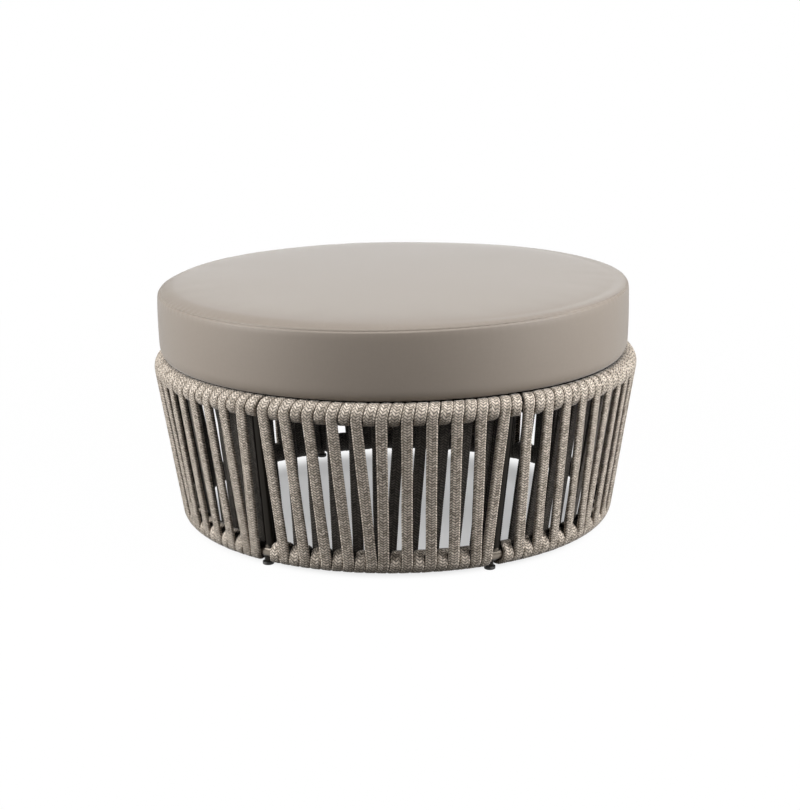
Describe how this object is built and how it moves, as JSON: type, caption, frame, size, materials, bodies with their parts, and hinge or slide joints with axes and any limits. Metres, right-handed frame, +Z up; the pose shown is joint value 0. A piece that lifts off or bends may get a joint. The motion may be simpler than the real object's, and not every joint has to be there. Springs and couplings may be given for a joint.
{
  "type": "outdoor ottoman footstool",
  "caption": "Round outdoor footstool: a tapered tube frame wound with flat rope in open panels carries a slatted deck and a loose, zipped round cushion with a low crown.",
  "frame": {"origin": "on the ground, on the axis of the round frame", "axes": "+Z up along the axis of the frame, -Y towards the panel that faces the viewer, +X to the viewer's right"},
  "size_m": [0.805, 0.8044, 0.4121],
  "materials": {
    "rope": "flat braided outdoor rope in mixed beige and taupe yarns, matt",
    "frame_metal": "powder coat in warm taupe, satin with a fine metallic grain",
    "glide_plastic": "moulded grey plastic, matt",
    "cushion_fabric": "closely woven coated outdoor fabric in greige, soft sheen",
    "foam": "open-cell foam, matt",
    "zip_tape": "woven tape with a moulded coil, matt",
    "slider_metal": "lacquered die-cast, satin"
  },
  "bodies": {
    "frame": {"top_ring": "frame_metal", "bottom_ring": "frame_metal", "rope_panel_1": "rope", "rope_panel_2": "rope", "rope_panel_3": "rope", "rope_panel_4": "rope", "rope_panel_5": "rope", "rope_panel_6": "rope", "upright_1": "frame_metal", "upright_2": "frame_metal", "upright_3": "frame_metal", "upright_4": "frame_metal", "upright_5": "frame_metal", "upright_6": "frame_metal", "foot_stub_1": "frame_metal", "foot_stub_2": "frame_metal", "foot_stub_3": "frame_metal", "foot_stub_4": "frame_metal", "foot_stub_5": "frame_metal", "foot_stub_6": "frame_metal", "foot_glide_1": "glide_plastic", "foot_glide_2": "glide_plastic", "foot_glide_3": "glide_plastic", "foot_glide_4": "glide_plastic", "foot_glide_5": "glide_plastic", "foot_glide_6": "glide_plastic", "seat_hanger_1": "frame_metal", "seat_hanger_2": "frame_metal", "seat_hanger_3": "frame_metal", "seat_hanger_4": "frame_metal", "seat_hanger_5": "frame_metal", "seat_hanger_6": "frame_metal", "seat_hoop": "frame_metal", "seat_rail": "frame_metal", "seat_slat_1": "frame_metal", "seat_slat_2": "frame_metal", "seat_slat_3": "frame_metal", "seat_slat_4": "frame_metal", "seat_slat_5": "frame_metal", "seat_slat_6": "frame_metal", "seat_slat_7": "frame_metal"},
    "cushion": {"cushion_top_panel": "cushion_fabric", "cushion_side_band": "cushion_fabric", "cushion_bottom_panel": "cushion_fabric", "foam_core": "foam", "zip_tape": "zip_tape"},
    "zip_slider": {"zip_slider": "slider_metal"},
    "zip_pull_tab": {"zip_pull_tab": "slider_metal"}
  },
  "joints": [
    {"name": "cushion_lift", "type": "slide", "parent": "frame", "child": "cushion", "axis": [0, 0, 1], "range_m": [0, 0.15]},
    {"name": "zip_slide", "type": "hinge", "parent": "cushion", "child": "zip_slider", "pos_m": [-0.0035, 0, 0.3356], "axis": [0, 0, -1], "range_deg": [0, 77]},
    {"name": "zip_tab_swing", "type": "hinge", "parent": "zip_slider", "child": "zip_pull_tab", "pos_m": [-0.24915, 0.3053, 0.3356], "axis": [0.7791, 0.6269, 0], "range_deg": [0, 170]}
  ]
}
